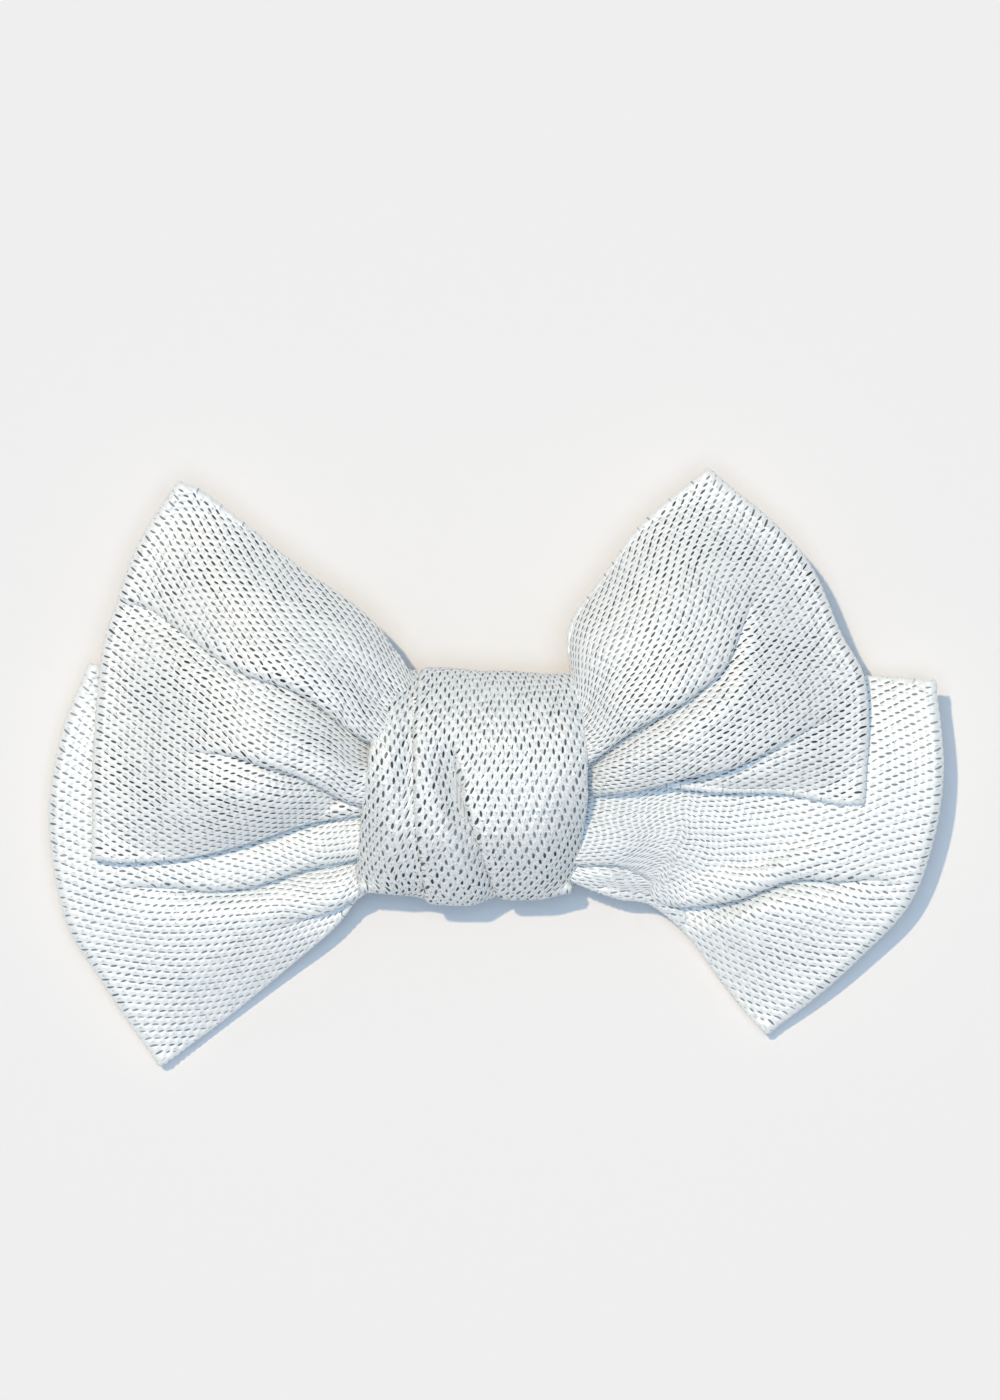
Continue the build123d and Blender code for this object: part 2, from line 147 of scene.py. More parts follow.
def run_across(grid):
    """How far each point of a grid is from the start of its row."""
    step = np.linalg.norm(np.diff(grid, axis=1), axis=2)
    return np.concatenate([np.zeros((len(grid), 1)), np.cumsum(step, axis=1)], axis=1)


def spread(grid, count):
    """Each row of a grid, resampled to count points evenly spaced along it."""
    out = np.empty((len(grid), count, grid.shape[2]))
    for i, (row, run) in enumerate(zip(grid, run_across(grid))):
        at = np.linspace(0, run[-1], count)
        for k in range(grid.shape[2]):
            out[i, :, k] = np.interp(at, run, row[:, k])
    return out


def ripple(u, q, seed, fine=1.0):
    """Soft irregular folds along u: a broad wave and a finer one, about -1 to 1."""
    (u1, q1), (u2, q2) = (1.3, 5.5), (3.1, 11.0)
    flat = [
        noise.noise(Vector((a * u1 * fine, b * q1 * fine, seed)))
        + 0.5 * noise.noise(Vector((a * u2 * fine, b * q2 * fine, seed + 9.0)))
        for a, b in zip(u.ravel(), q.ravel())
    ]
    return np.array(flat).reshape(u.shape)


def normals(rows):
    """Unit normals of a grid of points."""
    n = np.cross(np.gradient(rows, axis=0), np.gradient(rows, axis=1))
    return n / (np.linalg.norm(n, axis=2, keepdims=True) + 1e-12)


# ----------------------------------------------------------------------------- meshes


def add_object(name, data):
    """A new object in the scene."""
    made = bpy.data.objects.new(name, data)
    bpy.context.scene.collection.objects.link(made)
    return made


def shade_smooth(mesh):
    mesh.polygons.foreach_set("use_smooth", [True] * len(mesh.polygons))


def tube_faces(count, around, flip=False):
    """The faces of a closed tube of count rings, each of around points, with its ends."""
    index = np.arange(count * around).reshape(count, around)
    after = np.roll(index, -1, axis=1)
    quads = np.stack([index[:-1], index[1:], after[1:], after[:-1]], axis=-1).reshape(-1, 4)
    faces = quads.tolist() + [index[0].tolist(), index[-1][::-1].tolist()]
    return [face[::-1] for face in faces] if flip else faces


def mesh_piece(name, rings, flip=False, place=None):
    """A smooth tube round rings of points in millimetres, with its cloth coordinates."""
    mesh = bpy.data.meshes.new(name)
    faces = tube_faces(rings.shape[0], rings.shape[1], flip)
    mesh.from_pydata((rings.reshape(-1, 3) * MM).tolist(), [], faces)
    if place is not None:
        layer = mesh.uv_layers.new(name="cloth")
        corner = np.empty(len(mesh.loops), np.int32)
        mesh.loops.foreach_get("vertex_index", corner)
        cloth = np.asarray(place.reshape(-1, 2), np.float32)
        layer.data.foreach_set("uv", cloth[corner].ravel())
    shade_smooth(mesh)
    mesh.validate()
    return add_object(name, mesh)


def tube_piece(name, paths, radius, node):
    """Round, smooth tubes along paths in millimetres, in place of a CAD node."""
    curve = bpy.data.curves.new(name, "CURVE")
    curve.dimensions = "3D"
    curve.bevel_depth = radius * MM
    curve.bevel_resolution = 3
    curve.use_fill_caps = True
    for path in paths:
        spline = curve.splines.new("POLY")
        spline.points.add(len(path) - 1)
        for point, place in zip(spline.points, path):
            point.co = (*(np.array(place) * MM), 1)
    shell = add_object(name, curve)
    solid = shell.evaluated_get(bpy.context.evaluated_depsgraph_get())
    mesh = bpy.data.meshes.new_from_object(solid)
    bpy.data.objects.remove(shell)
    mesh.name = name
    shade_smooth(mesh)
    piece = add_object(name, mesh)
    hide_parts(node)
    return piece


# ------------------------------------------------------------------------------- cloth


def fabric_place(rows, width, from_row):
    """Each point's place in the flat cloth: along the ribbon from a row, and across it."""
    step = np.linalg.norm(np.diff(rows, axis=0), axis=2)
    along = np.concatenate([np.zeros((1, rows.shape[1])), np.cumsum(step, axis=0)])
    along = along - along[from_row]
    across = np.broadcast_to(np.linspace(0, width, rows.shape[1]), along.shape)
    return np.dstack([along, across])


def stitch_height(place, step, pitch, bias=0.0):
    """The knit's relief: 1 on a stitch's crown, 0 in the gap between stitches."""
    gap_along, gap_across, slope = 0.42, 0.2, 0.35
    c, s = math.cos(bias), math.sin(bias)
    a = (place[..., 0] * c - place[..., 1] * s) / step
    b = (place[..., 0] * s + place[..., 1] * c) / pitch
    column = np.round(a)
    da = a - column
    db = b - 0.5 * column
    db = db - np.round(db)
    gap = np.exp(-((da / gap_along) ** 2) - ((db / gap_across) ** 2))
    return 1 - gap - slope * np.abs(2 * da)


def ribbon(name, rows, place, relief, flip=False):
    """A doubled ribbon round a grid of points: a flattened tube with rolled edges."""
    n = normals(rows) * (-1 if flip else 1)
    half = THICK / 2
    coarse = slice(None, None, 3)  # the side turned inward needs fewer columns
    outer = rows + n * (half + relief[:, :, None])
    inner = (rows - n * half)[:, ::-1][:, coarse]
    rims, rim_places = [], []
    for edge, beside, turns in ((-1, -2, (50, 90, 130)), (0, 1, (-130, -90, -50))):
        side = rows[:, edge] - rows[:, beside]
        side = side / (np.linalg.norm(side, axis=1, keepdims=True) + 1e-12)
        nub = half + 1.5 * NUB * np.cos(2 * math.pi * place[:, edge, 0] / STITCH_STEP)[:, None]
        rim = [
            rows[:, edge] + half * n[:, edge] * math.cos(math.radians(a))
            + nub * side * abs(math.sin(math.radians(a)))
            for a in turns
        ]
        rims.append(np.stack(rim, axis=1))
        rim_places.append(np.repeat(place[:, edge][:, None], len(turns), axis=1))
    rings = np.concatenate([outer, rims[0], inner, rims[1]], axis=1)
    inner_place = place[:, ::-1][:, coarse]
    places = np.concatenate([place, rim_places[0], inner_place, rim_places[1]], axis=1)
    return mesh_piece(name, rings, flip, places)


def crease_section(d, lip, reach, floor):
    """A crease seen from its end, at distance d from its lip, which is the side below 0.

    Gives how far the cloth sinks, and how far the lip hangs over the crease's floor."""
    drop = np.exp(-((np.minimum(d, 0) / lip) ** 2))
    fall = np.where(d < 0, drop, floor)
    over = np.where(d < 0, np.exp(-((d / reach) ** 2)) * (1 - drop), 0)
    return fall, over


# ------------------------------------------------------------------------- the wings
# Each wing is a loop: a front layer from the knot to the outer fold, the fold, and a rear
# layer back to the knot. Its pleats start at the knot, where one panel lips over the next.
# A pleat's depth is given along its path, its lip is how round its edge is, and its floor
# is how wide the cloth below the lip is. Heights are given from the knot, 0, to the fold, 1.
# The fold's lift is given from the wing's upper corner, 0, to its lower one, 1.

FRONT_WING = dict(
    band="front_bow_band",
    rests_on=["back_left_wing", "back_right_wing"],
    front=[(0, 20.8), (0.12, 21.8), (0.3, 25.2), (0.5, 26.0), (0.72, 23.0), (0.9, 17.8),
           (1, 15.6)],
    rear=[(0, 17.8), (0.12, 17.0), (0.4, 15.2), (0.8, 14.3), (1, 14.0)],
    edge_close=0.85, ripple=0.45, rear_gather=1.3,
)
BACK_WING = dict(
    band="back_bow_band",
    rests_on=["floor"],
    front=[(0, 16.6), (0.14, 15.4), (0.3, 13.0), (0.5, 11.7), (0.75, 11.2), (0.92, 9.8),
           (1, 8.6)],
    rear=[(0, 11.6), (0.15, 10.8), (0.5, 4.6), (0.7, 2.6), (0.85, 3.4), (1, 6.8)],
    edge_close=0.7, ripple=0.4, rear_gather=1.7,
)

WINGS = {
    "front_left_wing": dict(
        FRONT_WING,
        seed=3.0,
        top=[(-13, 13.0), (-15.9, 17.8), (-17.7, 20.1), (-20.3, 23.6), (-24.6, 27.5),
             (-33.3, 33.4), (-42.0, 40.3), (-49.8, 46.2)],
        bottom=[(-13, -6.6), (-22.9, -7.6), (-32.3, -9.1), (-39.7, -11.6), (-50.7, -14.5),
                (-61.6, -15.5)],
        fold=[(-54.0, 48.1), (-59.9, 38.4), (-63.6, 28.3), (-65.8, 21.5), (-67.0, 11.4),
              (-68.0, -2.0), (-68.4, -15.0)],
        fold_lift=[(0, 2.5), (0.4, 0.5), (1, 0)],
        pleats=[
            dict(path=[(-13, 5.0), (-21.4, 6.1), (-32.3, 14.0), (-42.6, 17.7), (-50.7, 22.7),
                       (-57.9, 27.1), (-63.5, 27.6)],
                 depth=[(0, 5.0), (0.25, 4.2), (0.6, 2.6), (0.85, 1.7), (1, 0)],
                 lip=0.9, floor=10.0),
            dict(path=[(-13, -3.4), (-21.4, -4.7), (-26.5, -2.9), (-32.3, 0.2), (-39.7, 2.4),
                       (-45.5, 3.0), (-51.3, 2.4)],
                 depth=[(0, 5.0), (0.4, 4.2), (0.75, 2.2), (1, 0)],
                 lip=0.7, floor=9.0),
        ],
    ),
    "front_right_wing": dict(
        FRONT_WING,
        seed=7.5,
        top=[(11, 11.0), (12.9, 15.0), (12.4, 20.5), (13.4, 24.9), (18.1, 31.3),
             (23.2, 38.6), (27.5, 43.1)],
        bottom=[(11, -3.0), (15.2, -3.0), (26.8, -2.7), (37.4, -3.7), (48.0, -3.9),
                (57.4, -5.6)],
        fold=[(36.4, 50.5), (47.3, 40.9), (53.4, 33.3), (58.1, 22.6), (62.0, 15.3),
              (63.0, 5.2), (62.6, -5.7)],
        fold_lift=[(0, 1.5), (0.4, 0.3), (1, 0)],
        pleats=[
            dict(path=[(11, 0.4), (15.2, 2.4), (21.4, 7.2), (30.8, 12.6), (37.4, 18.0),
                       (40.1, 22.6), (43.4, 28.6)],
                 depth=[(0, 5.0), (0.3, 4.4), (0.65, 3.4), (0.85, 1.6), (1, 0)],
                 lip=0.8, floor=8.0),
            dict(path=[(11, -3.2), (15.2, -3.0), (24.1, -2.0), (32.7, 0.3), (40.7, 2.0),
                       (50.7, 5.9), (57.4, 8.6)],
                 depth=[(0, 3.6), (0.35, 4.0), (0.7, 2.0), (1, 0)],
                 lip=0.8, floor=6.0),
        ],
    ),
    "back_left_wing": dict(
        BACK_WING,
        seed=12.0,
        top=[(-13, 7.5), (-28, 9.0), (-48, 13.0)],
        bottom=[(-13, -16.6), (-20.6, -18.6), (-23.8, -22.0), (-27.6, -26.8), (-36.8, -34.7),
                (-45.5, -41.8)],
        fold=[(-69.2, 17.3), (-73.4, 4.7), (-75.2, -9.6), (-72.6, -25.6), (-66.7, -35.7),
              (-57.4, -50.5)],
        fold_lift=[(0, 4.0), (0.5, 0.5), (1, -3.0)],
        pleats=[
            dict(path=[(-13, -9.5), (-22.9, -13.3), (-32.3, -15.2), (-42.6, -18.5),
                       (-54.2, -19.2), (-63.8, -20.4)],
                 depth=[(0, 3.8), (0.35, 4.4), (0.65, 3.2), (1, 0)],
                 lip=0.7, floor=8.0),
            dict(path=[(-13, -16.5), (-23.6, -20.4), (-30.0, -24.0), (-36.7, -26.9)],
                 depth=[(0, 2.8), (0.6, 2.4), (1, 0)],
                 lip=0.9, floor=6.0),
        ],
    ),
    "back_right_wing": dict(
        BACK_WING,
        seed=21.0,
        top=[(11, 7.5), (30, 10.5), (50, 14.4), (62.3, 15.0)],
        bottom=[(11, -17.6), (14.6, -19.5), (20.7, -21.7), (26.6, -22.9), (33.0, -28.4),
                (38.2, -35.4), (42.6, -41.0)],
        fold=[(74.7, 14.3), (75.3, -1.3), (73.4, -13.3), (69.4, -23.4), (61.4, -32.0),
              (53.4, -39.4), (46.5, -45.3)],
        fold_lift=[(0, 6.2), (0.35, 4.6), (0.7, 1.0), (1, -2.6)],
        pleats=[
            dict(path=[(28.0, -22.2), (37.4, -21.4), (44.1, -20.0), (48.0, -18.0),
                       (53.4, -17.0), (60.8, -18.0), (66.0, -19.0)],
                 depth=[(0, 1.2), (0.25, 4.4), (0.55, 4.8), (0.8, 2.4), (1, 0)],
                 lip=0.7, floor=10.0),
            dict(path=[(11, -13.6), (14.8, -14.6), (20.7, -14.6), (24.1, -17.3),
                       (26.1, -19.4)],
                 depth=[(0, 2.6), (0.6, 2.4), (1, 0)],
                 lip=0.7, floor=4.5),
        ],
    ),
}


def pleat_place(plan, path):
    """Where each row of a plan meets a pleat: (share of the row, share of the pleat, gap)."""
    blur_rows = 11
    line = smooth_curve(path, 120)
    place, share, gap = [], [], []
    for row in plan:
        away = np.linalg.norm(row[:, None] - line[None], axis=2)
        i, j = np.unravel_index(away.argmin(), away.shape)
        place.append(i / (len(row) - 1))
        share.append(j / (len(line) - 1))
        gap.append(away[i, j])
    return average(np.array(place), blur_rows), np.array(share), np.array(gap)


def add_pleats(plan, z, pleats):
    """Sink each pleat into a layer's height z, and push its lip over its floor."""
    lean, deepest_lean, missed = 1.36, 2.5, (0.6, 3.0)
    swell_at, swell_width, swell_share = -2.6, 2.4, 0.25  # of the cloth above the lip
    run = run_across(plan)
    tangent = np.gradient(plan, axis=1)
    tangent /= np.linalg.norm(tangent, axis=2, keepdims=True) + 1e-9
    q = np.linspace(0, 1, plan.shape[1])
    shift = np.zeros_like(z)
    for pleat in pleats:
        place, share, gap = pleat_place(plan, pleat["path"])
        # a pleat fades in the rows that don't reach its path
        depth = (through(share, pleat["depth"]) * (1 - ease(gap, *missed)))[:, None]
        at = np.array([np.interp(p, q, r) for p, r in zip(place, run)])
        d = run - at[:, None]
        floor = (1 - ease(d, 0, pleat["floor"])) * (0.35 + 0.65 * np.exp(-((d / 6.0) ** 2)))
        fall, over = crease_section(d, pleat["lip"], 3.0 * pleat["lip"], floor)
        swell = np.exp(-(((d - swell_at) / swell_width) ** 2))
        z = z - depth * fall + swell_share * depth * swell
        shift += lean * np.minimum(depth, deepest_lean) * over
    return plan + shift[:, :, None] * tangent, z


def wing_plan(wing):
    """A wing's plan, from the knot to where its fold begins, and the way out of its fold."""
    outer = smooth_curve(wing["fold"], DENSE)
    inner = np.linspace(wing["top"][0], wing["bottom"][0], DENSE)
    way = np.gradient(outer, axis=0)
    out = np.stack([-way[:, 1], way[:, 0]], axis=1)
    out /= np.linalg.norm(out, axis=1, keepdims=True)
    if (out * (outer - outer.mean(0) * 0.5)).sum() < 0:
        out = -out
    outer = outer - out * (FOLD_RADIUS + THICK / 2)
    top = smooth_curve(wing["top"] + [tuple(outer[0])], ROWS)
    bottom = smooth_curve(wing["bottom"] + [tuple(outer[-1])], ROWS)
    return patch(top, bottom, inner, outer), out


def wing_layers(wing, plan):
    """A wing's front and rear layers, row by row outward from the knot."""
    floor_gap, layer_gap, gather = 0.1, 0.15, 0.5
    seed = wing["seed"]
    u, q = np.meshgrid(np.linspace(0, 1, ROWS), np.linspace(0, 1, DENSE), indexing="ij")
    tip = through(q, wing["fold_lift"]) * u**2
    away_from_ends = np.sin(math.pi * u) ** 0.7
    near_knot = (1 - u) ** 2 * ease(u, 0.0, 0.1)

    plain = through(u, wing["rear"]) + tip
    close = 1 - wing["edge_close"] * np.abs(2 * q - 1) ** 3.4
    front = plain + (through(u, wing["front"]) + tip - plain) * close
    front = front + wing["ripple"] * ripple(u, q, seed) * away_from_ends
    front = front + gather * near_knot * ripple(u, q, seed + 20.0, 2.2)
    front_plan, front = add_pleats(plan, front, wing["pleats"])

    tucks = np.sin(q * math.pi * 12.0 + seed)
    rear = plain + 1.2 * wing["ripple"] * ripple(u, q, seed + 40.0) * away_from_ends
    rear = rear + wing["rear_gather"] * tucks * (1 - u) ** 1.1 * ease(u, 0.05, 0.26)
    rear = np.maximum(rear, THICK / 2 + floor_gap)
    front = np.maximum(front, rear + THICK + layer_gap)
    return (spread(np.dstack([front_plan, front]), COLUMNS),
            spread(np.dstack([plan, rear]), COLUMNS))


def wing_rows(wing):
    """The middle surface of a wing's ribbon, row by row from the front of the knot."""
    plan, out = wing_plan(wing)
    front, rear = wing_layers(wing, plan)
    q, share = np.linspace(0, 1, DENSE), np.linspace(0, 1, COLUMNS)
    outward = np.stack([np.interp(share, q, out[:, 0]), np.interp(share, q, out[:, 1]),
                        np.zeros(COLUMNS)], axis=1)
    start, end = front[-1], rear[-1]
    middle, half = (start + end) / 2, (start - end) / 2
    reach = np.linalg.norm(half, axis=1, keepdims=True)
    bulge = outward * np.minimum(reach, FOLD_RADIUS * 1.3)
    turns = np.linspace(math.pi / 2, -math.pi / 2, FOLD_ROWS + 2)[1:-1]
    fold = [middle + half * math.sin(a) + bulge * math.cos(a) for a in turns]
    return np.concatenate([front, np.array(fold), rear[::-1]])


def make_wing(name, wing):
    """One wing of the bow, as a sheet of cloth."""
    band, rest = wing["band"], wing["rests_on"]
    rows = wing_rows(wing)
    place = fabric_place(rows, RIBBON, ROWS + FOLD_ROWS // 2)
    relief = NUB * stitch_height(place, STITCH_STEP, STITCH_PITCH)
    piece = ribbon(name, rows, place, relief, flip=rows[ROWS // 2, COLUMNS // 2, 0] > 0)
    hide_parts(band)
    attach(piece, "bow")
    return piece


# -------------------------------------------------------------------------- the knot

KNOT_PITCH = 1.68
KNOT_STEP = 1.24
KNOT_BIAS = math.radians(-12)  # how far its columns of stitches turn from the wrap's length
KNOT_WIDTH = 42.0
KNOT_ROWS, KNOT_COLUMNS = 300, 110
KNOT_LAP = 0.12  # share of a turn by which its ends lap at the back
# its lower edge, from left, 0, to right, 1, and its left and right edges, as x at each y
KNOT_BOTTOM = [(0, -20.6), (0.2, -21.2), (0.38, -23.0), (0.56, -23.1), (0.64, -21.9),
               (0.8, -22.2), (0.95, -21.6), (1, -20.4)]
KNOT_LEFT = ([-21, -18, -5, 6, 17.5], [-22.4, -22.9, -21.9, -20.2, -15.9])
KNOT_RIGHT = ([-21.5, -15, -6, 3, 13, 17], [11.9, 13.8, 15.0, 15.0, 14.1, 12.8])
# its two creases, as x at each y
FIRST_CREASE = ([-20, -11, -4, 6, 10, 17], [-11.2, -12.5, -13.0, -13.0, -12.6, -11.8])
SECOND_CREASE = ([-22, -11.4, 1.2, 8], [1.6, -2.2, -6.4, -8.2])


def knot_surface(angle, share):
    """The wrap's middle surface without its creases, and how far up each row is."""
    below, above = 1.2, 0.4  # what is left clear in its CAD node's box
    low, high = node_box("knot_wrap")
    z_low, z_high = low[2] + below, high[2] - above
    around_y, around_z = squared_circle(angle, 2 / 3)
    # its upper edge falls a little toward the right
    top = 17.2 - 1.6 * share
    bottom = through(share, KNOT_BOTTOM)
    half_y = (top - bottom) / 2 - THICK / 2
    half_z = (z_high - z_low) / 2 - THICK / 2
    y = (top + bottom)[None] / 2 + half_y[None] * around_y[:, None]
    z = (z_high + z_low) / 2 + half_z * around_z[:, None] + np.zeros_like(y)
    left = np.interp(y, *KNOT_LEFT)
    right = np.interp(y, *KNOT_RIGHT)
    x = left + (right - left) * share[None]
    # it droops toward its upper and lower ends, most of all at the lower right
    z = z - 2.2 * np.abs(around_y)[:, None] ** 3
    z = z - (1.8 + 2.0 * share)[None] * ease(-around_y, 0.4, 1)[:, None]
    # its edges roll down, and lie close to the wings on the lower side
    upper = ease(around_z, 0.15, 0.8)[:, None]
    hug = (1 - ease(y, -13, -1)) * upper
    off_middle = np.abs(2 * share - 1)[None]
    z = z - 4.8 * hug * off_middle ** 5
    z = z - 1.3 * upper * off_middle ** 7
    return np.dstack([x, y, z]), around_z


def knot_rows():
    """The wrap's middle surface: rows go once round the waists and lap at the back."""
    lip, reach, floor_width, lean = 0.42, 1.6, 6.5, 0.7
    angle = np.linspace(0, 2 * math.pi * (1 + KNOT_LAP), KNOT_ROWS)
    angle = -math.pi / 2 - math.pi * KNOT_LAP + angle
    share = np.linspace(0, 1, KNOT_COLUMNS)
    surface, around_z = knot_surface(angle, share)
    n = normals(surface)
    if (n * (surface - surface.mean((0, 1)))).sum() < 0:
        n = -n
    x, y = surface[:, :, 0].copy(), surface[:, :, 1]
    front = ease(around_z, -0.2, 0.5)[:, None]
    push = np.zeros_like(x)
    # the second crease fades out on its way up
    for crease, depth, fade in ((FIRST_CREASE, 1.8, 1.0),
                                (SECOND_CREASE, 2.8, 1 - ease(y, -5, 6))):
        d = np.interp(y, *crease) - x
        fall, over = crease_section(d, lip, reach, 1 - ease(d, 0, floor_width))
        push -= depth * fade * fall
        surface[:, :, 0] -= lean * depth * fade * over * front
    u, q = np.meshgrid(np.linspace(0, 3, KNOT_ROWS), share, indexing="ij")
    push = push * (0.35 + 0.65 * front) + 0.25 * ripple(u, q, 31.0)
    # the closing end lies over the start
    turns = np.linspace(0, 1, KNOT_ROWS)[:, None]
    push = push + 0.9 * ease(turns, 0.55, 0.95) - 0.5 * (1 - ease(turns, 0.02, 0.2))
    return spread(surface + n * push[:, :, None], KNOT_COLUMNS + 30)


def make_knot():
    """The wrap round both waists, as a sheet of cloth."""
    rows = knot_rows()
    place = fabric_place(rows, KNOT_WIDTH, 0)
    relief = NUB * stitch_height(place, KNOT_STEP, KNOT_PITCH, KNOT_BIAS)
    outward = (normals(rows) * (rows - rows.mean((0, 1)))).sum() > 0
    piece = ribbon("knot_wrap_cloth", rows, place, relief, flip=not outward)
    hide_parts("knot_wrap")
    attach(piece, "bow")
    return piece


# ------------------------------------------------------------------------- the waists

WAIST_ENDS = (-14.0, 10.5)  # in x, inside the wrap
WINDING_HALF = 1.8  # half of a thread winding's width


def make_waist(name, band, y, z, threads, seed):
    """A band's gathered middle: a bundle of pleats, pulled in where threads go round it."""
    sections, around = 60, 220
    inset, pull = 0.55, 0.8  # inside its box, and how much further where it is tied
    along = np.linspace(*WAIST_ENDS, sections)
    angle = np.linspace(0, 2 * math.pi, around, endpoint=False)
    c, s = squared_circle(angle, 0.5)
    pinch = sum(pull * (1 - ease(np.abs(along - at), 1.8, 3.2)) for at in threads)[:, None]
    waves = 0.35 * np.cos(angle * 23 + seed) + 0.2 * np.cos(angle * 37 + 2 * seed)
    swing = 0.8 * np.sin(along / 3.0 + seed)[:, None] * np.sin(angle * 3)[None]
    shrink = inset + pinch - waves[None] * (1 - 0.5 * pinch) - 0.2 * swing
    half_y, half_z = (y[1] - y[0]) / 2, (z[1] - z[0]) / 2
    rings = np.dstack([
        along[:, None] + np.zeros((sections, around)),
        (y[0] + y[1]) / 2 + (half_y - shrink) * c[None],
        (z[0] + z[1]) / 2 + (half_z - shrink) * s[None],
    ])
    # round the bundle, from 1 mm, so that its slits aren't faded as at a ribbon's edge
    round_it = 1.0 + 2 * (half_y + half_z) * angle / math.pi
    place = np.dstack(np.broadcast_arrays(along[:, None], round_it[None]))
    piece = mesh_piece(name, rings, True, place)
    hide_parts(band)
    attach(piece, "bow")
    return piece


# ---------------------------------------------------------------------------- threads


def thread_piece(name, paths, radius, node):
    """Sewing thread along paths, in place of a CAD node."""
    piece = tube_piece(name, paths, radius, node)
    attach(piece, "bow")
    return piece


def winding(node, name):
    """A thread wound round a waist, inside its CAD node's box."""
    radius, turns = 0.3, 5
    low, high = node_box(node)
    t = np.linspace(0, 2 * math.pi * turns, 60 * turns)
    half = (high - low) / 2 - radius
    middle = (low + high) / 2
    c, s = squared_circle(t, 0.55)
    x = low[0] + radius + (high[0] - low[0] - 2 * radius) * t / t[-1]
    path = np.stack([x, middle[1] + half[1] * c, middle[2] + half[2] * s], axis=1)
    return thread_piece(name, [path], radius, node)


def lap_row(node, name):
    """A row of short stitches that each bow out a little in the middle."""
    radius, count = 0.22, 6
    low, high = node_box(node)
    t = np.linspace(0, 1, 10)
    x = low[0] + (high[0] - low[0]) * t
    z = low[2] + (high[2] - low[2]) * (1 - np.sin(math.pi * t)) * 0.8 + 0.1
    paths = []
    for k in range(count):
        y = low[1] + (high[1] - low[1]) * (k + 0.5) / count
        paths.append(np.stack([x, y + 0 * t, z], axis=1))
    return thread_piece(name, paths, radius, node)


def closing_stitches():
    """Slanted whip stitches that climb over the wrap's lapped edge."""
    radius, count, inset, slant = 0.24, 9, 1.0, 1.3
    low, high = node_box("wrap_closing_stitches")
    t = np.linspace(0, 1, 14)
    y = low[1] - 0.2 + (high[1] - low[1] + 0.4) * t
    z = (low[2] + high[2]) / 2 - 0.75 * np.sin(math.pi * t) ** 0.5 + 0.35
    paths = []
    for k in range(count):
        start = low[0] + inset + (high[0] - low[0] - 2 * inset) * k / (count - 1)
        paths.append(np.stack([start + slant * (t - 0.5), y, z], axis=1))
    return thread_piece("closing_whip_stitches", paths, radius, "wrap_closing_stitches")


# -------------------------------------------------------------------------- the spring


def spring_wire():
    """The clip's spring: a coil round the pin, with a leg under each of the clip's tails."""
    radius, coil_radius, turns = 0.3, 1.45, 3.5
    low, high = node_box("clip_torsion_spring")
    pin_low, pin_high = node_box("clip_pivot_pin")
    pivot = (pin_low + pin_high) / 2
    half = high[1] - radius
    t = np.linspace(0, 1, 190)
    angle = math.pi / 2 + 2 * math.pi * turns * t
    coil = np.stack([
        pivot[0] + coil_radius * np.cos(angle),
        pivot[1] + half * (2 * t - 1),
        pivot[2] + coil_radius * np.sin(angle),
    ], axis=1)
    tip_x = high[0] - 0.02
    leg = np.linspace(0, 1, 16)[:, None]
    upper = (1 - leg) * np.array([tip_x, -half, high[2] - radius]) + leg * coil[0]
    lower = (1 - leg) * coil[-1] + leg * np.array([tip_x, half, low[2] + radius])
    path = np.concatenate([upper[:-1], coil, lower[1:]])
    piece = tube_piece("torsion_spring_wire", [path], radius, "clip_torsion_spring")
    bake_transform(piece)
    return piece


# ----------------------------------------------------------------------- felt and glue


def pad_outline(half, corner, angle):
    """A pad's plan round its middle: bowed sides, with the corners cut across."""
    straight = half - corner
    way = np.stack([np.cos(angle), np.sin(angle)], axis=1)
    reach = np.abs(way) * half[::-1]
    slope = way / np.maximum(np.abs(way[:, ::-1]), 1e-9)
    at = np.where(reach > reach[:, ::-1], np.sign(way) * straight, slope * half[::-1])
    core = np.clip(at, -straight, straight)
    away = at - core
    length = np.linalg.norm(away, axis=1, keepdims=True)
    away = np.where(length > 1e-6, away / (length + 1e-9), way)
    return core + away * corner


def pad_piece(name, node, corner, rough, seed):
    """A thin pad in its CAD node's box: rolled edges, and uneven faces and sides."""
    steps, around, uneven = 22, 160, 0.012
    low, high = node_box(node)
    half = (high - low) / 2
    thick = half[2]
    edge = pad_outline(half[:2], corner, np.linspace(0, 2 * math.pi, around, endpoint=False))
    shares = np.arange(1, steps) / steps
    layers = [(edge * share, thick) for share in shares]
    for t in np.linspace(0, math.pi, 9):
        inset = thick * (1 - math.sin(t)) * 0.9
        shrink = 1 - inset / np.linalg.norm(edge, axis=1, keepdims=True)
        layers.append((edge * shrink, thick * math.cos(t)))
    layers += [(edge * share, -thick) for share in shares[::-1]]
    rings = np.array([np.column_stack([plan, np.full(around, up)]) for plan, up in layers])
    x, y = rings[:, :, 0].copy(), rings[:, :, 1].copy()
    rings[:, :, 2] += rough * ripple(x * 0.25, y * 0.08, seed) * np.sign(rings[:, :, 2])
    rings[:, :, :2] *= 1 + uneven * ripple(x * 0.2, y * 0.06, seed + 5)[:, :, None]
    piece = mesh_piece(name, rings + (low + high) / 2)
    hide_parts(node)
    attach(piece, "bow")
    return piece


# -------------------------------------------------------------------------- materials


